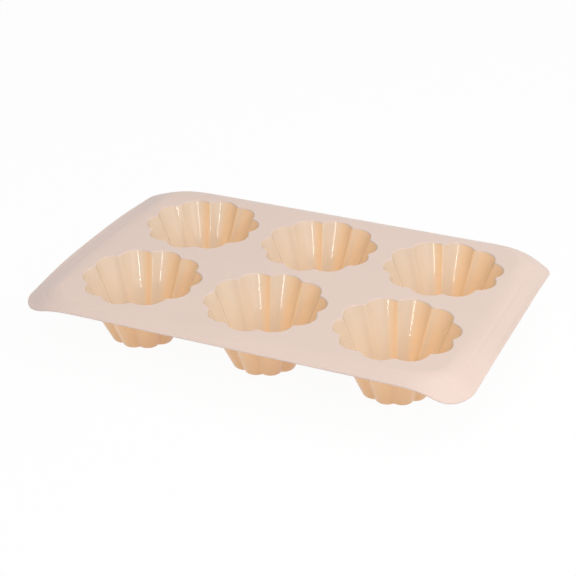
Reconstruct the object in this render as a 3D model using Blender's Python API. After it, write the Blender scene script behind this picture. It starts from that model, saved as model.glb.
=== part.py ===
"""Silicone muffin mould: six fluted cups under a flat deck with a soft, drooping rim.

The mould stands on its cup floors. The origin is on the table under the middle of the deck,
+X runs along the rows of three cups, +Y towards the back row and +Z up.
"""
import math

import bmesh
import bpy
from mathutils import Vector

MM = 0.001

# Cup pattern
COLUMNS = ("left", "middle", "right")
ROWS = ("front", "back")
WEB_ALONG = 8.1 * MM        # deck between neighbours in a row, crest to crest
WEB_ACROSS = 6.7 * MM       # deck between the two rows, crest to crest

# One cup, radii measured to the crests of its lobes
MOUTH_RADIUS = 35.0 * MM    # inside, at the deck
BASE_RADIUS = 19.6 * MM     # outside, where wall and foot would meet unrounded
CUP_DEPTH = 37.4 * MM       # deck top to table
CUP_WALL = 1.0 * MM         # square to the wall
FLOOR_THICKNESS = 1.2 * MM
FOOT_FILLET = 3.0 * MM      # outside
LEAST_FILLET = 0.3 * MM     # kept inside however thick the wall
LOBES = 10
FLUTE_DEPTH = 3.4 * MM      # crest to groove at the mouth, shrinking with the cup
RIDGE_RADIUS = 2.5 * MM     # of the ridge between two lobes, at the mouth

# Deck
DECK_THICKNESS = 1.0 * MM
DECK_MARGIN = 2.4 * MM      # flat deck outside the outermost crests
DECK_CORNER_RADIUS = 14.0 * MM

# Rim: a flange that curves down from the deck to a fold, runs on straight and ends in a flatter lip
RIM_WIDTH_ENDS = 18.3 * MM
RIM_WIDTH_SIDES = 11.6 * MM
RIM_DROP = 3.4 * MM
RIM_THICKNESS = 0.9 * MM
RIM_CORNER_RADIUS = 17.6 * MM
END_BOW = 1.0 * MM          # how far the middle of each short end stands out
FLANGE_SLOPES = (           # share of the way across the flange, and slope there as a share of the steepest
    (0.0, 0.0), (0.48, 1.0), (0.8, 1.0), (0.88, 0.35), (1.0, 0.35),
)
SAG_FRONT_LEFT = 4.2 * MM   # extra droop of each unsupported corner
SAG_FRONT_RIGHT = 7.2 * MM
SAG_BACK_LEFT = 2.9 * MM
SAG_BACK_RIGHT = 5.6 * MM
SAG_REACH_SIDES = 15.3 * MM     # how far a corner's droop spreads along the long side
SAG_REACH_ENDS = 35.0 * MM      # and along the short end
SAG_SWING = 8.9 * MM        # length of flange that swings down at a corner, which draws its edge in
SAG_CURVE = 1.5             # above 1 the droop sets in late across the flange
BOW_CURVE = 4               # the higher, the less of the long sides the bow reaches

# Smoothness of the drawn outlines
CREST_STEPS = 6             # segments on the crest of a lobe
RIDGE_STEPS = 3             # segments round a ridge
FILLET_STEPS = 3
CORNER_STEPS = 8            # segments in a quarter turn of the rim
SIDE_STEPS = 10             # segments along a straight side of the rim
FLANGE_RINGS = (0.0, 0.17, 0.34, 0.48, 0.8, 0.88, 1.0)      # places of the rings across the flange
CREASE_ANGLE = math.radians(50)

PITCH_ALONG = 2 * MOUTH_RADIUS + WEB_ALONG
PITCH_ACROSS = 2 * MOUTH_RADIUS + WEB_ACROSS
DECK_HALF_LENGTH = (len(COLUMNS) - 1) / 2 * PITCH_ALONG + MOUTH_RADIUS + DECK_MARGIN
DECK_HALF_WIDTH = (len(ROWS) - 1) / 2 * PITCH_ACROSS + MOUTH_RADIUS + DECK_MARGIN
DECK_UNDERSIDE = CUP_DEPTH - DECK_THICKNESS


def clear_scene():
    """Remove every object that the file starts with."""
    for item in list(bpy.data.objects):
        bpy.data.objects.remove(item)


def silicone(name, colour, roughness):
    """Make the soft, slightly translucent rubber of one piece."""
    material = bpy.data.materials.new(name)
    material.use_nodes = True
    shader = material.node_tree.nodes["Principled BSDF"]
    shader.inputs["Base Color"].default_value = (*colour, 1.0)
    shader.inputs["Roughness"].default_value = roughness
    shader.inputs["Metallic"].default_value = 0.0
    shader.inputs["IOR"].default_value = 1.41
    material.diffuse_color = (*colour, 1.0)
    return material


def fluted_outline(crest_radius, centre=(0.0, 0.0)):
    """Points round a ring of lobes: crest arcs joined by small arcs that point inward."""
    scale = crest_radius / MOUTH_RADIUS
    ridge = RIDGE_RADIUS * scale
    ridge_centre = crest_radius - FLUTE_DEPTH * scale + ridge
    half_lobe = math.pi / LOBES
    across = ridge_centre * math.sin(half_lobe)
    along = ridge_centre * math.cos(half_lobe)
    # The crest arc passes the crest and touches the ridge arcs on both sides.
    arc = (crest_radius ** 2 + ridge_centre ** 2 - 2 * crest_radius * along - ridge ** 2)
    arc /= 2 * (crest_radius + ridge - along)
    arc_centre = crest_radius - arc
    spread = math.atan2(across, along - arc_centre)
    points = []
    for lobe in range(LOBES):
        axis = (2 * lobe + 1) * half_lobe
        middle = Vector((math.cos(axis), math.sin(axis))) * arc_centre
        for step in range(CREST_STEPS + 1):
            angle = axis + spread * (2 * step / CREST_STEPS - 1)
            points.append(middle + Vector((math.cos(angle), math.sin(angle))) * arc)
        ridge_axis = axis + half_lobe
        middle = Vector((math.cos(ridge_axis), math.sin(ridge_axis))) * ridge_centre
        turn = spread - half_lobe
        for step in range(1, RIDGE_STEPS):
            angle = ridge_axis + math.pi + turn * (1 - 2 * step / RIDGE_STEPS)
            points.append(middle + Vector((math.cos(angle), math.sin(angle))) * ridge)
    offset = Vector(centre)
    return [point + offset for point in points]


def rounded_outline(half_length, half_width, corner_radius, bow=0.0):
    """Points round a rounded rectangle whose short ends may bow outward."""
    corners = ((1, 1, 0), (-1, 1, 1), (-1, -1, 2), (1, -1, 3))
    arcs = []
    for sign_x, sign_y, quarter in corners:
        middle = Vector((sign_x * (half_length - corner_radius), sign_y * (half_width - corner_radius)))
        arc = []
        for step in range(CORNER_STEPS + 1):
            angle = (quarter + step / CORNER_STEPS) * math.pi / 2
            arc.append(middle + Vector((math.cos(angle), math.sin(angle))) * corner_radius)
        arcs.append(arc)
    points = []
    for arc, following in zip(arcs, arcs[1:] + arcs[:1]):
        points.extend(arc)
        for step in range(1, SIDE_STEPS):
            points.append(arc[-1].lerp(following[0], step / SIDE_STEPS))
    for point in points:
        lean = 1 - (point.y / half_width) ** 2
        end = (point.x / half_length) ** BOW_CURVE
        point.x += math.copysign(bow * lean * end, point.x)
    return points


def link(name, data, collection, material, location, parent):
    """Add one piece to the mould."""
    piece = bpy.data.objects.new(name, data)
    data.materials.clear()
    data.materials.append(material)
    piece.location = location
    piece.parent = parent
    collection.objects.link(piece)
    return piece


def loft(name, rings, closed):
    """Skin a row of rings with equal point counts; the ends are capped unless the skin closes."""
    mesh_builder = bmesh.new()
    loops = []
    for ring in rings:
        verts = [mesh_builder.verts.new(point) for point in ring]
        loops.append([mesh_builder.edges.new(pair) for pair in zip(verts, verts[1:] + verts[:1])])
    pairs = list(zip(loops, loops[1:]))
    if closed:
        pairs.append((loops[-1], loops[0]))
    for first, second in pairs:
        bmesh.ops.bridge_loops(mesh_builder, edges=first + second)
    if not closed:
        for ends in (loops[0], loops[-1]):
            bmesh.ops.contextual_create(mesh_builder, geom=ends)
    bmesh.ops.recalc_face_normals(mesh_builder, faces=mesh_builder.faces)
    mesh = bpy.data.meshes.new(name)
    mesh_builder.to_mesh(mesh)
    mesh_builder.free()
    mesh.shade_smooth()
    mesh.set_sharp_from_angle(angle=CREASE_ANGLE)
    return mesh


def cup_centres():
    """Give each cup's name and the place of its axis."""
    centres = {}
    for row_index, row in enumerate(ROWS):
        for column_index, column in enumerate(COLUMNS):
            x = (column_index - (len(COLUMNS) - 1) / 2) * PITCH_ALONG
            y = (row_index - (len(ROWS) - 1) / 2) * PITCH_ACROSS
            centres[f"cup_{row}_{column}"] = (x, y)
    return centres


def cup_profile():
    """Radius and height, from the middle of the floor up the inside and down the outside.

    Heights count from the deck's underside, where the cup's flat top edge meets the deck.
    """
    height = CUP_DEPTH - DECK_THICKNESS
    # Taper of the line that ends at the base radius and passes one wall outside the mouth.
    flare = MOUTH_RADIUS - BASE_RADIUS
    slope = height * flare + CUP_WALL * math.sqrt(height ** 2 + flare ** 2 - CUP_WALL ** 2)
    slope /= height ** 2 - CUP_WALL ** 2
    draft = math.atan(slope)
    wall = CUP_WALL / math.cos(draft)

    def foot(corner_radius, floor, fillet):
        """Arc that joins a floor to the wall, tangent to both, floor first."""
        centre = corner_radius - fillet * math.tan((math.pi / 2 - draft) / 2)
        sweep = math.pi / 2 - draft
        arc = []
        for step in range(FILLET_STEPS + 1):
            angle = -math.pi / 2 + sweep * step / FILLET_STEPS
            arc.append((centre + fillet * math.cos(angle), floor + fillet * (1 + math.sin(angle))))
        return arc

    inner_corner = BASE_RADIUS - wall + slope * FLOOR_THICKNESS
    inner_fillet = max(FOOT_FILLET - CUP_WALL, LEAST_FILLET)
    inside = foot(inner_corner, FLOOR_THICKNESS - height, inner_fillet)
    outside = foot(BASE_RADIUS, -height, FOOT_FILLET)
    return inside + [(MOUTH_RADIUS, 0.0), (MOUTH_RADIUS + wall, 0.0)] + outside[::-1]


def make_cup_mesh():
    """One fluted, tapered cup around its own axis."""
    rings = []
    for radius, height in cup_profile():
        rings.append([point.to_3d() + Vector((0, 0, height)) for point in fluted_outline(radius)])
    return loft("fluted_cup", rings, closed=False)


def make_deck_curve(centres):
    """The flat web: one outline with a fluted hole over each cup."""
    curve = bpy.data.curves.new("deck", "CURVE")
    curve.dimensions = "2D"
    curve.fill_mode = "BOTH"
    curve.extrude = DECK_THICKNESS / 2
    outlines = [rounded_outline(DECK_HALF_LENGTH, DECK_HALF_WIDTH, DECK_CORNER_RADIUS)]
    outlines += [fluted_outline(MOUTH_RADIUS, centre) for centre in centres]
    for outline in outlines:
        spline = curve.splines.new("POLY")
        spline.points.add(len(outline) - 1)
        spline.use_cyclic_u = True
        for target, point in zip(spline.points, outline):
            target.co = (point.x, point.y, 0.0, 1.0)
    return curve


def corner_droop(point):
    """Extra fall of the rim's edge at a point of its outline, and the step inward that comes with it."""
    droop = 0.0
    inward = Vector((0.0, 0.0))
    cut_in = RIM_CORNER_RADIUS * (1 - math.sqrt(0.5))
    corner = Vector((DECK_HALF_LENGTH + RIM_WIDTH_ENDS - cut_in, DECK_HALF_WIDTH + RIM_WIDTH_SIDES - cut_in))
    sags = {
        (-1, -1): SAG_FRONT_LEFT,
        (1, -1): SAG_FRONT_RIGHT,
        (-1, 1): SAG_BACK_LEFT,
        (1, 1): SAG_BACK_RIGHT,
    }
    for side, sag in sags.items():
        away = point - corner * Vector(side)
        share = math.exp(-(away.x / SAG_REACH_SIDES) ** 2 - (away.y / SAG_REACH_ENDS) ** 2)
        droop += sag * share
        # An edge that swings down by its sag also moves in by about half the square of it over the swing.
        inward -= Vector(side).normalized() * share * sag ** 2 / (2 * SAG_SWING)
    return droop, inward


def flange_fall(across):
    """Share of the flange's fall that is reached at a share of the way across it."""
    whole = reached = 0.0
    for (start, first), (end, last) in zip(FLANGE_SLOPES, FLANGE_SLOPES[1:]):
        stretch = end - start
        part = min(max((across - start) / stretch, 0.0), 1.0)
        whole += stretch * (first + last) / 2
        reached += stretch * part * (first + (last - first) * part / 2)
    return reached / whole


def make_rim_mesh():
    """The flange: a loft from the deck's edge out to the lip and back underneath."""
    inner = rounded_outline(DECK_HALF_LENGTH, DECK_HALF_WIDTH, DECK_CORNER_RADIUS)
    outer = rounded_outline(
        DECK_HALF_LENGTH + RIM_WIDTH_ENDS, DECK_HALF_WIDTH + RIM_WIDTH_SIDES, RIM_CORNER_RADIUS, END_BOW
    )
    droops = [corner_droop(end) for end in outer]
    top = []
    for across in FLANGE_RINGS:
        ring = []
        for start, end, (droop, inward) in zip(inner, outer, droops):
            place = start.lerp(end + inward, across)
            height = -RIM_DROP * flange_fall(across) - droop * across ** SAG_CURVE
            ring.append(Vector((place.x, place.y, height)))
        top.append(ring)
    bottom = []
    for across, ring in zip(FLANGE_RINGS, top):
        # The flange is as thick as the deck where they meet and thins towards its edge.
        thickness = DECK_THICKNESS + (RIM_THICKNESS - DECK_THICKNESS) * across
        bottom.append([point - Vector((0, 0, thickness)) for point in ring])
    return loft("rim", top + bottom[::-1], closed=True)


def main():
    clear_scene()
    collection = bpy.data.collections.new("silicone_muffin_mould")
    bpy.context.scene.collection.children.link(collection)
    mould = bpy.data.objects.new("silicone_muffin_mould", None)
    collection.objects.link(mould)

    deck_silicone = silicone("deck_silicone", (0.745, 0.597, 0.539), 0.42)
    rim_silicone = silicone("rim_silicone", (0.716, 0.558, 0.497), 0.42)
    cup_silicone = silicone("cup_silicone", (0.776, 0.552, 0.376), 0.24)

    centres = cup_centres()
    cup_mesh = make_cup_mesh()
    for name, (x, y) in centres.items():
        link(name, cup_mesh, collection, cup_silicone, (x, y, DECK_UNDERSIDE), mould)
    deck_middle = CUP_DEPTH - DECK_THICKNESS / 2
    link("deck", make_deck_curve(centres.values()), collection, deck_silicone, (0, 0, deck_middle), mould)
    link("rim", make_rim_mesh(), collection, rim_silicone, (0, 0, CUP_DEPTH), mould)


if __name__ == "__main__":
    main()
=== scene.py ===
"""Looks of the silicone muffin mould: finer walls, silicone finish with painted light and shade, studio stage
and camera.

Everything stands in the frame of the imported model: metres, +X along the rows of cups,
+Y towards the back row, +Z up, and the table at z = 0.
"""

import math

import bmesh
import bpy
from mathutils import Matrix, Vector
from mathutils.geometry import delaunay_2d_cdt


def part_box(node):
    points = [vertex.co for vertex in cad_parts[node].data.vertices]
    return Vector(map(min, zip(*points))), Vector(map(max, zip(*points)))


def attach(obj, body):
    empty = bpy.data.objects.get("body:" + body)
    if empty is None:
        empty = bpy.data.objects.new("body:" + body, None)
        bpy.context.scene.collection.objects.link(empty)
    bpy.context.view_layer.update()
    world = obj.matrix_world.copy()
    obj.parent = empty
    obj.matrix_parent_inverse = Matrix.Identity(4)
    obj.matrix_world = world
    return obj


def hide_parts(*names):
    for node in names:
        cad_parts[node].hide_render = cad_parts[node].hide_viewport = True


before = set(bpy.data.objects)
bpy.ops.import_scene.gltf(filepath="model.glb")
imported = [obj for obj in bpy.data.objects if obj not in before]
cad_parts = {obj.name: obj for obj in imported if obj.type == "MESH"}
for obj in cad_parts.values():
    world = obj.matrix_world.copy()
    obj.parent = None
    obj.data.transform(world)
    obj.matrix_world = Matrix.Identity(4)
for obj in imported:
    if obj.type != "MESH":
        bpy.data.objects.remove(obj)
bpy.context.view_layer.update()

bl_info = {
    "name": "Silicone muffin mould",
    "version": (1, 0, 0),
    "blender": (4, 5, 0),
    "location": "View3D > Sidebar > Muffin mould",
    "description": "Builds a six-cup fluted silicone muffin mould on its packed solids",
    "category": "Add Mesh",
}

MM = 0.001
ROWS = ("front", "back")
COLUMNS = ("left", "middle", "right")
CUP_NODES = [f"cup_{row}_{column}" for row in ROWS for column in COLUMNS]
DECK_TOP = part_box("deck")[1].z
DECK_HALF = Vector(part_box("deck")[1].xy)
RIM_HALF = Vector(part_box("rim")[1].xy)

# Smoothness of the walls
CREST_STEPS = 24        # segments on the crest of a lobe
RIDGE_STEPS = 24        # segments round the ridge between two lobes
FILLET_STEPS = 8
WALL_STEPS = 10
CORNER_STEPS = 24       # segments in a quarter turn of the rim
SIDE_STEPS = 72         # segments along a straight side of the rim
FLANGE_STEPS = 60       # rings between the deck and the rim's edge
EDGE_STEPS = 8          # segments round the rim's free edge
FLOOR_RINGS = (0.0, 0.3, 0.6, 0.85)     # rings on a cup's floor, as shares of its radius
WELD = 1e-7             # points of a cup nearer than this become one
CLEAR_SHARE = 0.5       # share of the mesh pitch kept clear of the deck's outlines
FILL_WHOLE = 0          # the deck's fill covers the whole convex outline, and what lies outside is dropped
FILL_NEAR = 1e-9        # points of the deck nearer than this would fall together
CREASE_ANGLE = math.radians(40)

# Share of the way across the flange, and slope there as a share of the steepest
FLANGE_SLOPES = ((0.0, 0.0), (0.48, 1.0), (0.8, 1.0), (0.88, 0.35), (1.0, 0.35))
EDGE_START = 0.8        # share of the way across where the flange makes room for its rounded edge


def length(name, description, default):
    """A size that the panel shows, in metres."""
    return bpy.props.FloatProperty(
        name=name, description=description, default=default, min=0.0, precision=5, unit="LENGTH"
    )


def tone(name, description, default):
    """A colour that the panel shows."""
    return bpy.props.FloatVectorProperty(
        name=name, description=description, default=default, size=3, min=0.0, max=1.0, subtype="COLOR"
    )


def share(name, description, default):
    """A share from 0 to 1 that the panel shows as a slider."""
    return bpy.props.FloatProperty(
        name=name, description=description, default=default, min=0.0, max=1.0, subtype="FACTOR"
    )


def number(name, description, default, high):
    """A plain number from 0 up that the panel shows."""
    return bpy.props.FloatProperty(name=name, description=description, default=default, min=0.0, max=high)


class CupSizes(bpy.types.PropertyGroup):
    """Sizes of one cup; radii run to the crests of its lobes."""

    mouth_radius: length("Mouth radius", "Inside, where wall and deck would meet unrounded", 35.0 * MM)
    base_radius: length("Base radius", "Outside, where wall and floor would meet unrounded", 19.6 * MM)
    wall: length("Wall", "Thickness of the wall, square to it", 1.0 * MM)
    floor: length("Floor", "Thickness of the floor", 1.2 * MM)
    foot_fillet: length("Foot fillet", "Outer radius between wall and floor", 3.0 * MM)
    root_fillet: length("Root fillet", "Radius between the deck's underside and the wall", 1.2 * MM)
    lobes: bpy.props.IntProperty(name="Lobes", description="Lobes round a cup", default=10, min=3)
    flute_depth: length("Flute depth", "From crest to groove at the mouth", 3.4 * MM)
    ridge_radius: length("Ridge radius", "Of the ridge between two lobes at the mouth", 2.5 * MM)


class DeckSizes(bpy.types.PropertyGroup):
    """Sizes of the flat web between the cups."""

    thickness: length("Thickness", "Thickness of the web", 1.0 * MM)
    corner_radius: length("Corner radius", "Of the flat part's corners", 14.0 * MM)
    mouth_edge: length("Mouth edge", "Radius that rounds the edge of each mouth", 0.8 * MM)
    mesh_pitch: length("Mesh pitch", "Spacing of the points on the flat part", 3.0 * MM)
    wave: length("Wave", "Height of the soft waves that the rubber settles into", 0.12 * MM)


class RimSizes(bpy.types.PropertyGroup):
    """Sizes of the flange that curves down to a fold, runs on straight and ends in a flatter lip."""

    drop: length("Drop", "Fall of the flange from deck to edge", 3.4 * MM)
    thickness: length("Thickness", "Thickness at the free edge", 0.9 * MM)
    corner_radius: length("Corner radius", "Of the outer corners", 17.6 * MM)
    end_bow: length("End bow", "How far the middle of each short end stands out", 1.0 * MM)
    fold_depth: length("Fold depth", "Depth of the groove along the fold", 0.14 * MM)
    fold_place: share("Fold place", "Where the fold runs, as a share of the way across", 0.48)
    fold_width: share("Fold width", "Width of its groove, as a share of the way across", 0.1)
    corner_fold: length("Corner fold", "Height of the soft fold across each corner of the flange", 0.4 * MM)
    corner_fold_width: length("Corner fold width", "Width of that fold", 2.0 * MM)
    sag_front_left: length("Front left sag", "Extra droop of that corner", 4.2 * MM)
    sag_front_right: length("Front right sag", "Extra droop of that corner", 7.2 * MM)
    sag_back_left: length("Back left sag", "Extra droop of that corner", 2.9 * MM)
    sag_back_right: length("Back right sag", "Extra droop of that corner", 5.6 * MM)
    sag_reach_sides: length("Sag reach, sides", "How far a droop spreads along the long side", 15.3 * MM)
    sag_reach_ends: length("Sag reach, ends", "How far a droop spreads along the short end", 35.0 * MM)
    sag_swing: length("Sag swing", "Length of flange that swings down and so draws its edge in", 8.9 * MM)
    sag_curve: number("Sag curve", "Above 1 the droop sets in late across the flange", 1.5, 4.0)
    bow_curve: number("Bow curve", "The higher, the less of the long sides the bow reaches", 4.0, 8.0)


class SiliconeLook(bpy.types.PropertyGroup):
    """Colours, with painted light and painted shade, and gloss of the silicone."""

    # The lit and far colours are painted light and painted shade, chosen by which way a surface faces.
    deck_painted_lit: tone("Deck, painted lit", "Deck and rim where they face up or to the right", (0.750, 0.590, 0.512))
    deck_painted_shade: tone("Deck, painted shade", "Deck and rim where they face to the left", (0.690, 0.560, 0.515))
    cup_painted_lit: tone("Cups, painted lit", "Floors, and walls that face to the right", (0.765, 0.620, 0.475))
    cup_painted_shade: tone("Cups, painted shade", "Walls that face to the left", (0.960, 0.665, 0.405))
    # Painted glow: the cups' outsides are warmer, in place of light that comes through the rubber.
    cup_painted_glow_below: tone("Cups, painted glow below", "Outsides of the cups", (0.975, 0.625, 0.345))
    deck_roughness: share("Deck roughness", "Roughness of the deck and the rim, a satin", 0.42)
    cup_roughness: share("Cup roughness", "Roughness of the cups, a gloss", 0.09)


class StudioLook(bpy.types.PropertyGroup):
    """Light on the stage."""

    ambient: number("Ambient", "Light from all round", 0.36, 4.0)
    side: number("Side", "Brightness of the soft lamp on the right", 1.03, 50.0)
    front: number("Front", "Brightness of the soft lamp in front", 0.88, 50.0)
    top: number("Top", "Brightness of the soft lamp overhead", 0.42, 50.0)
    strip: number("Strip", "Brightness of the narrow lamp that the cups' glossy walls mirror", 17.0, 200.0)
    floor_tone: share("Floor tone", "How pale the floor is", 0.9)
    floor_glow: share("Floor glow", "Share of the floor's white that lights the mould from below", 0.3)


def seen_from(azimuth, elevation):
    """Unit vector from the mould towards a place round it; azimuth 0 is the front, 90 the right."""
    return Vector((
        math.sin(azimuth) * math.cos(elevation),
        -math.cos(azimuth) * math.cos(elevation),
        math.sin(elevation),
    ))


# The rubber's colours run from painted lit to painted shade by how squarely a wall faces this fixed way of
# painted light, 1 being squarely.
# It lies on the side lamp's side, lower and a little behind it, and doesn't follow any lamp.
PAINTED_LIGHT_WAY = seen_from(math.radians(102), math.radians(20))
FULLY_PAINTED_LIT = 0.42
FULLY_PAINTED_SHADE = -0.3
# The cups' outsides take a painted glow, in place of light that comes through the rubber.
FULLY_PAINTED_GLOW = -0.25     # how far down a wall faces where it has the colour of the cups' outsides


# Outlines


def fluted_outline(cup, crest_radius, centre):
    """Points round a ring of lobes: crest arcs joined by small arcs that point inward."""
    scale = crest_radius / cup.mouth_radius
    ridge = cup.ridge_radius * scale
    ridge_centre = crest_radius - cup.flute_depth * scale + ridge
    half_lobe = math.pi / cup.lobes
    across = ridge_centre * math.sin(half_lobe)
    along = ridge_centre * math.cos(half_lobe)
    arc = crest_radius ** 2 + ridge_centre ** 2 - 2 * crest_radius * along - ridge ** 2
    arc /= 2 * (crest_radius + ridge - along)
    arc_centre = crest_radius - arc
    spread = math.atan2(across, along - arc_centre)
    points = []
    for lobe in range(cup.lobes):
        axis = (2 * lobe + 1) * half_lobe
        middle = Vector((math.cos(axis), math.sin(axis))) * arc_centre
        for step in range(CREST_STEPS + 1):
            angle = axis + spread * (2 * step / CREST_STEPS - 1)
            points.append(middle + Vector((math.cos(angle), math.sin(angle))) * arc)
        ridge_axis = axis + half_lobe
        middle = Vector((math.cos(ridge_axis), math.sin(ridge_axis))) * ridge_centre
        turn = spread - half_lobe
        for step in range(1, RIDGE_STEPS):
            angle = ridge_axis + math.pi + turn * (1 - 2 * step / RIDGE_STEPS)
            points.append(middle + Vector((math.cos(angle), math.sin(angle))) * ridge)
    return [point + centre for point in points]


def rounded_outline(half_length, half_width, corner_radius, bow=0.0, bow_curve=1.0):
    """Points round a rounded rectangle whose short ends may bow outward."""
    corners = ((1, 1, 0), (-1, 1, 1), (-1, -1, 2), (1, -1, 3))
    arcs = []
    for sign_x, sign_y, quarter in corners:
        middle = Vector((sign_x * (half_length - corner_radius), sign_y * (half_width - corner_radius)))
        arc = []
        for step in range(CORNER_STEPS + 1):
            angle = (quarter + step / CORNER_STEPS) * math.pi / 2
            arc.append(middle + Vector((math.cos(angle), math.sin(angle))) * corner_radius)
        arcs.append(arc)
    points = []
    for arc, following in zip(arcs, arcs[1:] + arcs[:1]):
        points.extend(arc)
        for step in range(1, SIDE_STEPS):
            points.append(arc[-1].lerp(following[0], step / SIDE_STEPS))
    for point in points:
        lean = 1 - (point.y / half_width) ** 2
        end = abs(point.x / half_length) ** bow_curve
        point.x += math.copysign(bow * lean * end, point.x)
    return points


# Each soft wave's height as a share, radians per metre along and across the rows, and start in radians
SETTLE_WAVES = ((1.0, 41.0, 13.0, 0.7), (0.7, -23.0, 52.0, 2.1), (0.5, 74.0, 36.0, 4.0))
SETTLE_HEIGHT = sum(height for height, *_ in SETTLE_WAVES)


def settle(point, deck):
    """Soft waves at a place on the mould, alike for every piece that passes there; they only dip."""
    wave = 0.0
    for height, along, across, start in SETTLE_WAVES:
        wave += height * math.sin(along * point[0] + across * point[1] + start)
    return deck.wave * (wave / SETTLE_HEIGHT - 1) / 2


# Meshes


def finish_mesh(name, builder, material):
    """Turn a bmesh into a shaded mesh with one material."""
    bmesh.ops.recalc_face_normals(builder, faces=builder.faces)
    mesh = bpy.data.meshes.new(name)
    builder.to_mesh(mesh)
    builder.free()
    mesh.shade_smooth()
    mesh.set_sharp_from_angle(angle=CREASE_ANGLE)
    mesh.materials.append(material)
    return mesh


def skin(builder, rings, closed=False):
    """Join rings of vertices with equal counts by quads; True joins the last ring to the first."""
    pairs = list(zip(rings, rings[1:]))
    if closed:
        pairs.append((rings[-1], rings[0]))
    for first, second in pairs:
        count = len(first)
        for index in range(count):
            following = (index + 1) % count
            builder.faces.new((first[index], first[following], second[following], second[index]))


def place_piece(name, mesh, slot, *nodes):
    """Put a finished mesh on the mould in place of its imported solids."""
    piece = bpy.data.objects.new(name, mesh)
    bpy.context.scene.collection.objects.link(piece)
    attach(piece, "root")
    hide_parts(*nodes)


def cup_taper(cup):
    """Slope of the inner wall, radius per metre of height, and the wall's level thickness."""
    flare = cup.mouth_radius - cup.base_radius
    slope = DECK_TOP * flare + cup.wall * math.sqrt(DECK_TOP ** 2 + flare ** 2 - cup.wall ** 2)
    slope /= DECK_TOP ** 2 - cup.wall ** 2
    return slope, cup.wall / math.cos(math.atan(slope))


def mouth_edge(cup, deck):
    """Rounded edge of a mouth: crest radius and height from the deck's top, from deck to wall."""
    slope, _ = cup_taper(cup)
    draft = math.atan(slope)
    radius = deck.mouth_edge
    start = cup.mouth_radius + radius * math.tan((math.pi / 2 - draft) / 2)
    arc = []
    for step in range(FILLET_STEPS + 1):
        angle = (math.pi / 2 - draft) * step / FILLET_STEPS
        arc.append((start - radius * math.sin(angle), radius * (math.cos(angle) - 1)))
    return arc


def cup_profile(cup, deck):
    """Crest radius and height of a cup's section, from the floor's middle up and down the outside."""
    slope, level_wall = cup_taper(cup)
    draft = math.atan(slope)
    underside = DECK_TOP - deck.thickness

    def foot(corner_radius, floor, fillet):
        """Arc that joins a floor to the wall, tangent to both, floor first."""
        centre = corner_radius - fillet * math.tan((math.pi / 2 - draft) / 2)
        arc = []
        for step in range(FILLET_STEPS + 1):
            angle = -math.pi / 2 + (math.pi / 2 - draft) * step / FILLET_STEPS
            arc.append((centre + fillet * math.cos(angle), floor + fillet * (1 + math.sin(angle))))
        return arc

    def wall_line(first, last):
        """Points between the ends of a straight stretch of wall."""
        steps = range(1, WALL_STEPS)
        return [tuple(a + (b - a) * step / WALL_STEPS for a, b in zip(first, last)) for step in steps]

    inner_foot = foot(cup.base_radius - level_wall + slope * cup.floor, cup.floor, cup.foot_fillet - cup.wall)
    outer_foot = foot(cup.base_radius, 0.0, cup.foot_fillet)
    inner_top = (cup.mouth_radius - slope * deck.thickness, underside)
    # The outside of the wall swings out under the deck in a hollow fillet.
    root = cup.root_fillet
    corner = inner_top[0] + level_wall
    centre = (corner + root * math.tan((math.pi / 2 + draft) / 2), underside - root)
    root_arc = []
    for step in range(FILLET_STEPS + 1):
        angle = math.pi / 2 + (math.pi / 2 - draft) * step / FILLET_STEPS
        root_arc.append((centre[0] + root * math.cos(angle), centre[1] + root * math.sin(angle)))
    inner_floor = [(inner_foot[0][0] * part, cup.floor) for part in FLOOR_RINGS]
    outer_floor = [(outer_foot[0][0] * part, 0.0) for part in FLOOR_RINGS]
    inside = inner_floor + inner_foot + wall_line(inner_foot[-1], inner_top) + [inner_top]
    outside = root_arc + wall_line(root_arc[-1], outer_foot[-1]) + outer_foot[::-1] + outer_floor[::-1]
    return inside + outside


# Geometry Nodes


def add(tree, kind, inputs=None, **settings):
    """Add a node, set its options, and set or link its inputs."""
    node = tree.nodes.new(kind)
    for name, value in settings.items():
        setattr(node, name, value)
    for name, value in (inputs or {}).items():
        socket = node.inputs[name]
        if isinstance(value, Formula):
            value = value.socket
        if isinstance(value, bpy.types.NodeSocket):
            tree.links.new(value, socket)
        else:
            socket.default_value = value
    return node


class Formula:
    """A number inside a node tree, so that a rule reads as plain arithmetic."""

    def __init__(self, tree, socket):
        self.tree = tree
        self.socket = socket

    def math(self, operation, other=None, swapped=False):
        """One Math node on this number and, where it takes two, another."""
        values = [self] if other is None else [self, other]
        if swapped:
            values.reverse()
        node = add(self.tree, "ShaderNodeMath", dict(enumerate(values)), operation=operation)
        return Formula(self.tree, node.outputs[0])

    def __add__(self, other):
        return self.math("ADD", other)

    def __sub__(self, other):
        return self.math("SUBTRACT", other)

    def __rsub__(self, other):
        return self.math("SUBTRACT", other, swapped=True)

    def __mul__(self, other):
        return self.math("MULTIPLY", other)

    def __truediv__(self, other):
        return self.math("DIVIDE", other)

    def __rtruediv__(self, other):
        return self.math("DIVIDE", other, swapped=True)

    __radd__ = __add__
    __rmul__ = __mul__


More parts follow.
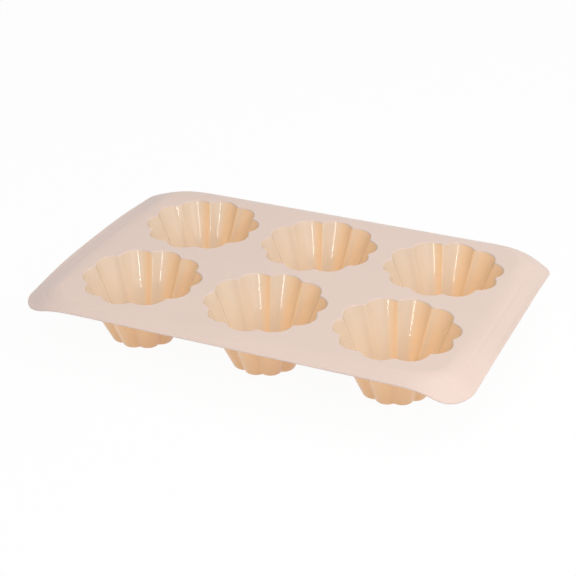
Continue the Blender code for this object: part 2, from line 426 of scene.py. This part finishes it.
def fluted_cup_tree():
    """Geometry Nodes: sweep a section round an axis and draw it in between the lobes."""
    tree = bpy.data.node_groups.new("Fluted cup", "GeometryNodeTree")
    face = tree.interface
    face.new_socket("Section", in_out="INPUT", socket_type="NodeSocketGeometry")
    for name in ("Mouth Radius", "Flute Depth", "Ridge Radius"):
        socket = face.new_socket(name, in_out="INPUT", socket_type="NodeSocketFloat")
        socket.subtype = "DISTANCE"
    for name in ("Lobes", "Crest Steps", "Ridge Steps"):
        face.new_socket(name, in_out="INPUT", socket_type="NodeSocketInt")
    face.new_socket("Centre", in_out="INPUT", socket_type="NodeSocketVector")
    face.new_socket("Silicone", in_out="INPUT", socket_type="NodeSocketMaterial")
    face.new_socket("Cup", in_out="OUTPUT", socket_type="NodeSocketGeometry")

    given = add(tree, "NodeGroupInput").outputs
    mouth, depth, ridge, lobes, crest_steps, ridge_steps = (
        Formula(tree, given[name])
        for name in ("Mouth Radius", "Flute Depth", "Ridge Radius", "Lobes", "Crest Steps", "Ridge Steps")
    )
    lobe_steps = crest_steps + ridge_steps
    around = lobes * lobe_steps
    rows = add(tree, "GeometryNodeAttributeDomainSize", {"Geometry": given["Section"]}).outputs["Point Count"]
    sheet = add(
        tree, "GeometryNodeMeshGrid",
        {"Size X": 1.0, "Size Y": 1.0, "Vertices X": around + 1, "Vertices Y": rows},
    )
    place = add(tree, "GeometryNodeInputPosition").outputs[0]
    sheet_x, sheet_y, _ = add(tree, "ShaderNodeSeparateXYZ", {0: place}).outputs
    column = ((Formula(tree, sheet_x) + 0.5) * around).math("ROUND")
    row = ((Formula(tree, sheet_y) + 0.5) * (Formula(tree, rows) - 1)).math("ROUND")
    section = add(
        tree, "GeometryNodeSampleIndex",
        {"Geometry": given["Section"], "Value": place, "Index": row},
        data_type="FLOAT_VECTOR", domain="POINT", clamp=True,
    )
    section_radius, _, height = add(tree, "ShaderNodeSeparateXYZ", {0: section.outputs[0]}).outputs

    # One lobe: a crest arc that touches the two ridge arcs beside it.
    half_lobe = math.pi / lobes
    ridge_centre = mouth - depth + ridge
    across = ridge_centre * half_lobe.math("SINE")
    along = ridge_centre * half_lobe.math("COSINE")
    arc = mouth * mouth + ridge_centre * ridge_centre - 2 * mouth * along - ridge * ridge
    arc = arc / (2 * (mouth + ridge - along))
    arc_centre = mouth - arc
    spread = across.math("ARCTAN2", along - arc_centre)

    lobe = (column / lobe_steps).math("FLOOR")
    step = column - lobe * lobe_steps
    crest_axis = (2 * lobe + 1) * half_lobe
    crest_turn = crest_axis + spread * (2 * step / crest_steps - 1)
    ridge_axis = crest_axis + half_lobe
    ridge_turn = ridge_axis + math.pi + (spread - half_lobe) * (1 - 2 * (step - crest_steps) / ridge_steps)
    on_ridge = step.math("GREATER_THAN", crest_steps)
    scale = Formula(tree, section_radius) / mouth
    sides = []
    for turn in ("COSINE", "SINE"):
        crest = arc_centre * crest_axis.math(turn) + arc * crest_turn.math(turn)
        groove = ridge_centre * ridge_axis.math(turn) + ridge * ridge_turn.math(turn)
        sides.append((crest + (groove - crest) * on_ridge) * scale)
    target = add(tree, "ShaderNodeCombineXYZ", {0: sides[0], 1: sides[1], 2: height}).outputs[0]
    target = add(tree, "ShaderNodeVectorMath", {0: target, 1: given["Centre"]}, operation="ADD").outputs[0]
    wall = add(tree, "GeometryNodeSetPosition", {"Geometry": sheet.outputs["Mesh"], "Position": target})
    joined = add(tree, "GeometryNodeMergeByDistance", {"Geometry": wall.outputs[0], "Distance": WELD})
    real = add(tree, "GeometryNodeRealizeInstances", {"Geometry": joined.outputs[0]})
    coloured = add(
        tree, "GeometryNodeSetMaterial", {"Geometry": real.outputs[0], "Material": given["Silicone"]},
    )
    add(tree, "NodeGroupOutput", {"Cup": coloured.outputs[0]})
    return tree


def run_tree(tree, section, values):
    """Run a Geometry Nodes tree on a section and return the plain mesh that it makes."""
    mesh = bpy.data.meshes.new("section")
    mesh.from_pydata([(radius, 0.0, height) for radius, height in section], [], [])
    carrier = bpy.data.objects.new("section", mesh)
    bpy.context.scene.collection.objects.link(carrier)
    modifier = carrier.modifiers.new("Fluted cup", "NODES")
    modifier.node_group = tree
    for item in tree.interface.items_tree:
        if item.item_type == "SOCKET" and item.in_out == "INPUT" and item.name in values:
            modifier[item.identifier] = values[item.name]
    bpy.context.view_layer.update()
    evaluated = carrier.evaluated_get(bpy.context.evaluated_depsgraph_get())
    made = bpy.data.meshes.new_from_object(evaluated)
    carrier.modifiers.remove(modifier)
    bpy.data.objects.remove(carrier)
    bpy.data.meshes.remove(mesh)
    return made


# Silicone

SILICONE_IOR = 1.41
DEEP_START = DECK_TOP - 0.2 * MM    # height where the deck's colour and satin start to give way to the cups'
DEEP_END = DECK_TOP - 1.2 * MM
CLOUD = 0.05            # how far the tone wanders
DUST = 0.15             # share of pale dust on its specks
DUST_COLOUR = (0.95, 0.9, 0.86, 1.0)
DUST_FROM = 0.66        # noise above which a speck shows
DUST_EDGE = 6.0         # how hard its edge is
DUST_SATIN = 0.2        # roughness that dust adds
SATIN_SPREAD = 0.06     # how far the roughness wanders
RELIEF = 0.03 * MM      # height of grain and ripple together

# Share of the fine grain and of the slow ripple in the relief, on the deck and the rim and on the cups
SATIN_RELIEF = {"Grain": 0.2, "Ripple": 1.0}
GLOSSY_RELIEF = {"Grain": 0.02, "Ripple": 0.15}

# How fine each pattern is, in patches per metre
CLOUD_SCALE = 28.0
SPECK_SCALE = 900.0
SATIN_SCALE = 140.0
GRAIN_SCALE = 2600.0
RIPPLE_SCALE = 160.0


def silicone_group():
    """Shader group for every piece: colour by height, painted light and shade by facing, cloud, grain, dust
    and uneven satin.
    """
    tree = bpy.data.node_groups.new("Silicone surface", "ShaderNodeTree")
    face = tree.interface
    for name in ("Top Painted Lit", "Top Painted Shade", "Deep Painted Lit", "Deep Painted Shade", "Painted Glow Below"):
        face.new_socket(name, in_out="INPUT", socket_type="NodeSocketColor")
    numbers = ("Deep Start", "Deep End", "Cloud", "Roughness", "Deep Roughness", "Dust", "Grain", "Ripple")
    for name in numbers:
        face.new_socket(name, in_out="INPUT", socket_type="NodeSocketFloat")
    face.new_socket("Colour", in_out="OUTPUT", socket_type="NodeSocketColor")
    face.new_socket("Roughness", in_out="OUTPUT", socket_type="NodeSocketFloat")
    face.new_socket("Height", in_out="OUTPUT", socket_type="NodeSocketFloat")
    given = add(tree, "NodeGroupInput").outputs
    place = add(tree, "ShaderNodeTexCoord").outputs["Object"]
    height = add(tree, "ShaderNodeSeparateXYZ", {0: place}).outputs[2]
    deep = add(
        tree, "ShaderNodeMapRange",
        {"Value": height, "From Min": given["Deep Start"], "From Max": given["Deep End"]},
        interpolation_type="SMOOTHSTEP",
    ).outputs[0]
    # Painted light and shade: walls that face the fixed way take the lit colours. Walls that face away take
    # the far colours, a painted shade made warmer in place of light that comes through the rubber.
    facing = add(tree, "ShaderNodeNewGeometry").outputs["Normal"]
    lit = add(tree, "ShaderNodeVectorMath", {0: facing, 1: PAINTED_LIGHT_WAY}, operation="DOT_PRODUCT")
    # Share of painted shade, from how the wall faces the fixed way of painted light.
    far = add(
        tree, "ShaderNodeMapRange",
        {"Value": lit.outputs["Value"], "From Min": FULLY_PAINTED_LIT, "From Max": FULLY_PAINTED_SHADE},
        interpolation_type="SMOOTHSTEP",
    ).outputs[0]
    top = mix_colours(tree, far, given["Top Painted Lit"], given["Top Painted Shade"])
    colour = mix_colours(tree, deep, top, mix_colours(tree, far, given["Deep Painted Lit"], given["Deep Painted Shade"]))
    # The outsides of the cups, which lean over the table, get a warmer painted glow too, in place of light
    # that comes through the rubber.
    lean = add(tree, "ShaderNodeSeparateXYZ", {0: facing}).outputs[2]
    below = add(
        tree, "ShaderNodeMapRange", {"Value": lean, "From Min": 0.0, "From Max": FULLY_PAINTED_GLOW},
        interpolation_type="SMOOTHSTEP",
    ).outputs[0]
    colour = mix_colours(tree, below, colour, given["Painted Glow Below"])
    cloud = add(tree, "ShaderNodeTexNoise", {"Vector": place, "Scale": CLOUD_SCALE, "Detail": 3.0})
    cloud = Formula(tree, cloud.outputs[0]) - 0.5
    shift = 1 + cloud * Formula(tree, given["Cloud"])
    colour = scale_colour(tree, colour, shift)
    specks = add(tree, "ShaderNodeTexNoise", {"Vector": place, "Scale": SPECK_SCALE, "Detail": 2.0})
    dust = (Formula(tree, specks.outputs[0]) - DUST_FROM) * DUST_EDGE
    dust = dust.math("MAXIMUM", 0.0).math("MINIMUM", 1.0) * Formula(tree, given["Dust"])
    colour = mix_colours(tree, dust.socket, colour, DUST_COLOUR)
    satin = add(tree, "ShaderNodeTexNoise", {"Vector": place, "Scale": SATIN_SCALE, "Detail": 4.0})
    satin = (Formula(tree, satin.outputs[0]) - 0.5) * SATIN_SPREAD
    smoother = Formula(tree, given["Deep Roughness"]) - Formula(tree, given["Roughness"])
    roughness = Formula(tree, given["Roughness"]) + smoother * Formula(tree, deep)
    roughness = roughness + satin + dust * DUST_SATIN
    grain = add(tree, "ShaderNodeTexNoise", {"Vector": place, "Scale": GRAIN_SCALE, "Detail": 2.0})
    ripple = add(tree, "ShaderNodeTexNoise", {"Vector": place, "Scale": RIPPLE_SCALE, "Detail": 1.0})
    relief = Formula(tree, grain.outputs[0]) * Formula(tree, given["Grain"])
    relief = relief + Formula(tree, ripple.outputs[0]) * Formula(tree, given["Ripple"])
    add(tree, "NodeGroupOutput", {"Colour": colour, "Roughness": roughness, "Height": relief})
    return tree


def mix_colours(tree, factor, first, second):
    """Mix two colours; the colour sockets of a Mix node are found by their type."""
    node = tree.nodes.new("ShaderNodeMix")
    node.data_type = "RGBA"
    wanted = [factor, first, second]
    sockets = [node.inputs["Factor"]] + [s for s in node.inputs if s.type == "RGBA"]
    for socket, value in zip(sockets, wanted):
        if isinstance(value, bpy.types.NodeSocket):
            tree.links.new(value, socket)
        else:
            socket.default_value = value
    return next(s for s in node.outputs if s.type == "RGBA")


def scale_colour(tree, colour, factor):
    """A colour times a number."""
    return add(tree, "ShaderNodeVectorMath", {0: colour, "Scale": factor}, operation="SCALE").outputs[0]


def silicone(name, top, deep, below, roughness, relief):
    """Make the rubber of one kind of piece; its lit and shaded sides, and the light that it lets through, are
    painted into its colour.

    top and deep are pairs of colours, painted lit and painted shade, below is the painted colour of faces
    that look down, and roughness is a pair, top and deep.
    """
    material = bpy.data.materials.new(name)
    material.use_nodes = True
    tree = material.node_tree
    shader = tree.nodes["Principled BSDF"]
    shader.inputs["IOR"].default_value = SILICONE_IOR
    surface = add(tree, "ShaderNodeGroup", node_tree=shared_group())
    values = {
        "Top Painted Lit": (*top[0], 1.0), "Top Painted Shade": (*top[1], 1.0), "Deep Painted Lit": (*deep[0], 1.0),
        "Deep Painted Shade": (*deep[1], 1.0), "Painted Glow Below": (*below, 1.0), "Deep Start": DEEP_START,
        "Deep End": DEEP_END, "Cloud": CLOUD, "Roughness": roughness[0], "Deep Roughness": roughness[1],
        "Dust": DUST, **relief,
    }
    for key, value in values.items():
        surface.inputs[key].default_value = value
    bump = add(
        tree, "ShaderNodeBump",
        {"Height": surface.outputs["Height"], "Distance": RELIEF, "Strength": 1.0},
    )
    tree.links.new(surface.outputs["Colour"], shader.inputs["Base Color"])
    tree.links.new(surface.outputs["Roughness"], shader.inputs["Roughness"])
    tree.links.new(bump.outputs[0], shader.inputs["Normal"])
    return material


def shared_group():
    """The silicone group, made on its first use."""
    return bpy.data.node_groups.get("Silicone surface") or silicone_group()


# Operators


class MOULD_OT_cups(bpy.types.Operator):
    """Make the six fluted cups"""

    bl_idname = "mould.cups"
    bl_label = "Fluted cups"

    def execute(self, context):
        cup, deck, look = context.scene.mould_cup, context.scene.mould_deck, context.scene.mould_silicone
        # The cups carry painted light and shade by facing, and a painted glow on their outsides.
        material = silicone(
            "cup_silicone", (look.deck_painted_lit, look.deck_painted_shade), (look.cup_painted_lit, look.cup_painted_shade), look.cup_painted_glow_below,
            (look.cup_roughness, look.cup_roughness), GLOSSY_RELIEF,
        )
        tree = fluted_cup_tree()
        for node in CUP_NODES:
            low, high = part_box(node)
            centre = (low + high) / 2
            mesh = run_tree(tree, cup_profile(cup, deck), {
                "Mouth Radius": cup.mouth_radius, "Flute Depth": cup.flute_depth,
                "Ridge Radius": cup.ridge_radius, "Lobes": cup.lobes, "Crest Steps": CREST_STEPS,
                "Ridge Steps": RIDGE_STEPS, "Centre": (centre.x, centre.y, 0.0), "Silicone": material,
            })
            for vertex in mesh.vertices:
                vertex.co.z += settle(vertex.co, deck) * vertex.co.z / DECK_TOP
            builder = bmesh.new()
            builder.from_mesh(mesh)
            bpy.data.meshes.remove(mesh)
            place_piece(node + "_wall", finish_mesh(node + "_wall", builder, material), "cup_silicone", node)
        return {"FINISHED"}


class MOULD_OT_deck(bpy.types.Operator):
    """Make the flat web with a rounded, fluted edge round each mouth"""

    bl_idname = "mould.deck"
    bl_label = "Deck"

    def execute(self, context):
        cup, deck, look = context.scene.mould_cup, context.scene.mould_deck, context.scene.mould_silicone
        # The deck carries painted light and shade by facing.
        material = silicone(
            "deck_silicone", (look.deck_painted_lit, look.deck_painted_shade), (look.cup_painted_lit, look.cup_painted_shade), look.deck_painted_shade,
            (look.deck_roughness, look.cup_roughness), SATIN_RELIEF,
        )
        outline = rounded_outline(DECK_HALF.x, DECK_HALF.y, deck.corner_radius)
        edge = mouth_edge(cup, deck)
        slope, _ = cup_taper(cup)
        collar = edge[0][0] + deck.mouth_edge / 2
        section = [(collar, 0.0)] + edge + [(cup.mouth_radius - slope * deck.thickness, -deck.thickness)]
        holes = []
        for node in CUP_NODES:
            low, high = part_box(node)
            centre = ((low + high) / 2).xy
            holes.append([(fluted_outline(cup, radius, centre), height) for radius, height in section])
        points, triangles = flat_web(outline, [hole[0][0] for hole in holes], deck.mesh_pitch)

        builder = bmesh.new()
        top = [builder.verts.new((*point, DECK_TOP)) for point in points]
        bottom = [builder.verts.new((*point, DECK_TOP - deck.thickness)) for point in points]
        for a, b, c in triangles:
            builder.faces.new((top[a], top[b], top[c]))
            builder.faces.new((bottom[c], bottom[b], bottom[a]))
        count = len(outline)
        skin(builder, [top[:count], bottom[:count]])
        start = count
        for hole in holes:
            size = len(hole[0][0])
            rings = [top[start:start + size]]
            for ring, height in hole[1:]:
                rings.append([builder.verts.new((*point, DECK_TOP + height)) for point in ring])
            rings.append(bottom[start:start + size])
            skin(builder, rings)
            start += size
        for vertex in builder.verts:
            vertex.co.z += settle(vertex.co, deck) * vertex.co.z / DECK_TOP
        place_piece("deck_web", finish_mesh("deck_web", builder, material), "deck_silicone", "deck")
        return {"FINISHED"}


def flat_web(outline, holes, pitch):
    """Triangles that fill an outline round its holes; the outlines' points come first, in order."""
    points, edges = [], []
    for ring in [outline] + holes:
        start = len(points)
        points.extend(Vector(point) for point in ring)
        edges.extend((start + i, start + (i + 1) % len(ring)) for i in range(len(ring)))
    fixed = len(points)
    reach = Vector((max(p.x for p in outline), max(p.y for p in outline)))
    for row in range(-int(reach.y / pitch), int(reach.y / pitch) + 1):
        for column in range(-int(reach.x / pitch), int(reach.x / pitch) + 1):
            point = Vector(((column + 0.5 * (row % 2)) * pitch, row * pitch))
            if not inside(point, outline) or any(inside(point, hole) for hole in holes):
                continue
            if min((point - other).length for other in points[:fixed]) > CLEAR_SHARE * pitch:
                points.append(point)
    made, _, faces, origins, _, _ = delaunay_2d_cdt(points, edges, [], FILL_WHOLE, FILL_NEAR)
    # The fill keeps the order of its points unless two of them fall together.
    if len(made) != len(points):
        raise RuntimeError("two points of the deck fall together")
    order = [origin[0] for origin in origins]
    triangles = []
    for face in faces:
        middle = sum((made[i] for i in face), Vector((0.0, 0.0))) / 3
        if inside(middle, outline) and not any(inside(middle, hole) for hole in holes):
            triangles.append([order[i] for i in face])
    return points, triangles


def inside(point, ring):
    """Whether a point lies inside a closed ring."""
    x, y = point
    crossings = False
    last = ring[-1]
    for this in ring:
        if (this[1] > y) != (last[1] > y):
            if x < (last[0] - this[0]) * (y - this[1]) / (last[1] - this[1]) + this[0]:
                crossings = not crossings
        last = this
    return crossings


class MOULD_OT_rim(bpy.types.Operator):
    """Make the flange with its lip and drooping corners"""

    bl_idname = "mould.rim"
    bl_label = "Rim"

    def execute(self, context):
        deck, rim, look = context.scene.mould_deck, context.scene.mould_rim, context.scene.mould_silicone
        # The rim carries painted light and shade by facing.
        material = silicone(
            "rim_silicone", (look.deck_painted_lit, look.deck_painted_shade), (look.deck_painted_lit, look.deck_painted_shade), look.deck_painted_shade,
            (look.deck_roughness, look.deck_roughness), SATIN_RELIEF,
        )
        inner = rounded_outline(DECK_HALF.x, DECK_HALF.y, deck.corner_radius)
        half = RIM_HALF - Vector((rim.end_bow, 0.0))
        outer = rounded_outline(half.x, half.y, rim.corner_radius, rim.end_bow, rim.bow_curve)
        droops = [corner_droop(rim, half, end) for end in outer]
        folds = [corner_fold(rim, half, end) for end in outer]
        builder = bmesh.new()
        rings = []
        for across, fall, over, under in rim_section(rim, deck):
            ring = []
            for start, end, (droop, inward), fold in zip(inner, outer, droops, folds):
                way = end + inward - start
                place = start + way * across + way.normalized() * over
                height = DECK_TOP - rim.drop * fall - droop * across ** rim.sag_curve - under
                height += fold * math.sin(math.pi * across) ** 2
                ring.append(builder.verts.new((*place, height)))
            rings.append(ring)
        skin(builder, rings, closed=True)
        for vertex in builder.verts:
            vertex.co.z += settle(vertex.co, deck) * vertex.co.z / DECK_TOP
        place_piece("rim_flange", finish_mesh("rim_flange", builder, material), "rim_silicone", "rim")
        return {"FINISHED"}


def corner_droop(rim, half, point):
    """Extra fall of the rim's edge at a point of its outline, and the step inward that comes with it."""
    cut_in = rim.corner_radius * (1 - math.sqrt(0.5))
    corner = half - Vector((cut_in, cut_in))
    sags = {
        (-1, -1): rim.sag_front_left,
        (1, -1): rim.sag_front_right,
        (-1, 1): rim.sag_back_left,
        (1, 1): rim.sag_back_right,
    }
    droop = 0.0
    inward = Vector((0.0, 0.0))
    for side, sag in sags.items():
        away = point - corner * Vector(side)
        part = math.exp(-(away.x / rim.sag_reach_sides) ** 2 - (away.y / rim.sag_reach_ends) ** 2)
        droop += sag * part
        inward -= Vector(side).normalized() * part * sag ** 2 / (2 * rim.sag_swing)
    return droop, inward


def corner_fold(rim, half, point):
    """Height of the soft fold that runs across a corner of the flange, at a point of its outline."""
    cut_in = rim.corner_radius * (1 - math.sqrt(0.5))
    away = Vector((abs(point.x), abs(point.y))) - half + Vector((cut_in, cut_in))
    off_line = (away.x - away.y) / math.sqrt(2)
    return rim.corner_fold * math.exp(-(off_line * 2 / rim.corner_fold_width) ** 2)


def flange_fall(across):
    """Share of the flange's fall that is reached at a share of the way across it."""
    whole = reached = 0.0
    for (start, first), (end, last) in zip(FLANGE_SLOPES, FLANGE_SLOPES[1:]):
        stretch = end - start
        part = min(max((across - start) / stretch, 0.0), 1.0)
        whole += stretch * (first + last) / 2
        reached += stretch * part * (first + (last - first) * part / 2)
    return reached / whole


def rim_section(rim, deck):
    """Section of the rim: share across, share of the fall, step outward and step down at each ring."""
    half_edge = rim.thickness / 2
    top = []
    for step in range(FLANGE_STEPS + 1):
        across = step / FLANGE_STEPS
        over = -half_edge * max(across - EDGE_START, 0.0) / (1 - EDGE_START)
        groove = rim.fold_depth * math.exp(-((across - rim.fold_place) * 2 / rim.fold_width) ** 2)
        top.append((across, flange_fall(across), over, groove))
    edge = []
    for step in range(1, EDGE_STEPS):
        angle = math.pi * step / EDGE_STEPS
        edge.append((1.0, 1.0, half_edge * (math.sin(angle) - 1), half_edge * (1 - math.cos(angle))))
    bottom = []
    for across, fall, over, _ in reversed(top):
        thickness = deck.thickness + (rim.thickness - deck.thickness) * across
        bottom.append((across, fall, over, thickness))
    return top + edge + bottom


# Stage

CAMERA_TARGET = (5.32 * MM, -18.92 * MM, DECK_TOP)
CAMERA_AZIMUTH = math.radians(24.483)
CAMERA_ELEVATION = math.radians(27.971)
CAMERA_ROLL = math.radians(-0.787)
CAMERA_DISTANCE = 833.7 * MM
CAMERA_LENS = 92.04     # in mm, as is the sensor's width
CAMERA_SENSOR = 36.0
CAMERA_NEAR = 10 * MM   # nearest thing that it sees

# Each lamp's azimuth and elevation in degrees, distance and size in metres
SIDE_LAMP = (90, 52, 1.2, (1.6, 1.4))
FRONT_LAMP = (28, 45, 1.2, (2.0, 1.2))
TOP_LAMP = (60, 78, 1.2, (2.0, 1.2))
STREAK_LAMP = (12, 22.5, 0.55, (0.04, 0.145))
LAMP_AIM = (0.0, 0.0, 0.02)
STREAK_AIM = (0.0, 0.04, 0.02)

FLOOR_HALF = 6.0        # half the side of the floor, in metres
FLOOR_GAP = 0.1 * MM    # between the floor and the cups' feet
FLOOR_WHITE = 0.95      # share of plain white in the floor as it is seen; the rest keeps the shadow
FLOOR_ROUGHNESS = 0.9
WHITE = (1.0, 1.0, 1.0, 1.0)


def place_camera(scene):
    """Stand the camera where the photograph was taken from."""
    back = seen_from(CAMERA_AZIMUTH, CAMERA_ELEVATION)
    level = Vector((math.cos(CAMERA_AZIMUTH), math.sin(CAMERA_AZIMUTH), 0.0))
    upright = back.cross(level)
    right = math.cos(CAMERA_ROLL) * level + math.sin(CAMERA_ROLL) * upright
    up = math.cos(CAMERA_ROLL) * upright - math.sin(CAMERA_ROLL) * level
    data = bpy.data.cameras.new("camera")
    data.lens = CAMERA_LENS
    data.sensor_width = CAMERA_SENSOR
    data.clip_start = CAMERA_NEAR
    camera = bpy.data.objects.new("camera", data)
    scene.collection.objects.link(camera)
    turn = Matrix((right, up, back)).transposed().to_4x4()
    camera.matrix_world = Matrix.Translation(Vector(CAMERA_TARGET) + back * CAMERA_DISTANCE) @ turn
    scene.camera = camera


def panel_light(scene, name, azimuth, elevation, distance, size, brightness, aim=LAMP_AIM):
    """A soft rectangular lamp that faces the mould; brightness is its glow, white at 1."""
    data = bpy.data.lights.new(name, "AREA")
    data.shape = "RECTANGLE"
    data.size, data.size_y = size
    data.energy = brightness * math.pi * size[0] * size[1]
    lamp = bpy.data.objects.new(name, data)
    scene.collection.objects.link(lamp)
    way = seen_from(math.radians(azimuth), math.radians(elevation))
    lamp.location = Vector(aim) + way * distance
    lamp.rotation_euler = way.to_track_quat("Z", "Y").to_euler()
    lamp.visible_camera = False
    return lamp


def seen_directly(tree):
    """1 where the camera, a reflection or something clear looks straight at the surface."""
    path = add(tree, "ShaderNodeLightPath").outputs
    seen = Formula(tree, path["Is Camera Ray"]).math("MAXIMUM", path["Is Glossy Ray"])
    return seen.math("MAXIMUM", path["Is Transmission Ray"])


def white_world(scene, studio):
    """Even light all round that looks plain white."""
    world = bpy.data.worlds.new("studio")
    scene.world = world
    world.use_nodes = True
    tree = world.node_tree
    seen = seen_directly(tree)
    strength = studio.ambient + seen * (1 - studio.ambient)
    tree.nodes["Background"].inputs["Color"].default_value = WHITE
    tree.links.new(strength.socket, tree.nodes["Background"].inputs["Strength"])


def floor_material(studio):
    """Plain pale floor: looks white, keeps the shadow, and is clear from below."""
    material = bpy.data.materials.new("floor")
    material.use_nodes = True
    tree = material.node_tree
    shader = tree.nodes["Principled BSDF"]
    shader.inputs["Base Color"].default_value = (studio.floor_tone,) * 3 + (1.0,)
    shader.inputs["Roughness"].default_value = FLOOR_ROUGHNESS
    shader.inputs["Specular IOR Level"].default_value = 0.0
    glow = add(tree, "ShaderNodeEmission", {"Color": WHITE, "Strength": 1.0})
    shade = studio.floor_glow + seen_directly(tree) * (FLOOR_WHITE - studio.floor_glow)
    lit = add(tree, "ShaderNodeMixShader", {0: shade, 1: shader.outputs[0], 2: glow.outputs[0]})
    clear = add(tree, "ShaderNodeBsdfTransparent")
    below = add(tree, "ShaderNodeNewGeometry").outputs["Backfacing"]
    sides = add(tree, "ShaderNodeMixShader", {0: below, 1: lit.outputs[0], 2: clear.outputs[0]})
    tree.links.new(sides.outputs[0], tree.nodes["Material Output"].inputs["Surface"])
    return material


class MOULD_OT_stage(bpy.types.Operator):
    """Set the floor, the studio light and the camera"""

    bl_idname = "mould.stage"
    bl_label = "Stage"

    def execute(self, context):
        scene, studio = context.scene, context.scene.mould_studio
        scene.view_settings.view_transform = "Standard"
        place_camera(scene)
        white_world(scene, studio)
        panel_light(scene, "side_lamp", *SIDE_LAMP, studio.side)
        panel_light(scene, "front_lamp", *FRONT_LAMP, studio.front)
        panel_light(scene, "top_lamp", *TOP_LAMP, studio.top)
        strip = panel_light(scene, "narrow_strip", *STREAK_LAMP, studio.strip, aim=STREAK_AIM)
        # This lamp is only mirrored, and doesn't light the rubber.
        strip.visible_diffuse = False
        mesh = bpy.data.meshes.new("floor")
        builder = bmesh.new()
        bmesh.ops.create_grid(builder, x_segments=1, y_segments=1, size=FLOOR_HALF)
        builder.to_mesh(mesh)
        builder.free()
        mesh.materials.append(floor_material(studio))
        floor = bpy.data.objects.new("floor", mesh)
        floor.location.z = -FLOOR_GAP
        scene.collection.objects.link(floor)
        return {"FINISHED"}


class MOULD_PT_sidebar(bpy.types.Panel):
    """Sizes, finish and light of the mould"""

    bl_idname = "MOULD_PT_sidebar"
    bl_label = "Muffin mould"
    bl_space_type = "VIEW_3D"
    bl_region_type = "UI"
    bl_category = "Muffin mould"

    def draw(self, context):
        for operator in OPERATORS:
            self.layout.operator(operator.bl_idname)
        for name in GROUPS:
            group = getattr(context.scene, name)
            box = self.layout.box()
            for key in group.bl_rna.properties.keys():
                if key not in {"rna_type", "name"}:
                    box.prop(group, key)


GROUPS = {
    "mould_cup": CupSizes,
    "mould_deck": DeckSizes,
    "mould_rim": RimSizes,
    "mould_silicone": SiliconeLook,
    "mould_studio": StudioLook,
}
OPERATORS = (MOULD_OT_cups, MOULD_OT_deck, MOULD_OT_rim, MOULD_OT_stage)


def register():
    """Add the panel, the operators and the values to Blender."""
    for kind in (*GROUPS.values(), *OPERATORS, MOULD_PT_sidebar):
        bpy.utils.register_class(kind)
    for name, kind in GROUPS.items():
        setattr(bpy.types.Scene, name, bpy.props.PointerProperty(type=kind))


def unregister():
    """Take them out again."""
    for name in GROUPS:
        delattr(bpy.types.Scene, name)
    for kind in (MOULD_PT_sidebar, *reversed(OPERATORS), *reversed(GROUPS.values())):
        bpy.utils.unregister_class(kind)


def main():
    """Build the mould and its stage."""
    register()
    bpy.ops.mould.cups()
    bpy.ops.mould.deck()
    bpy.ops.mould.rim()
    bpy.ops.mould.stage()


if __name__ == "__main__":
    main()
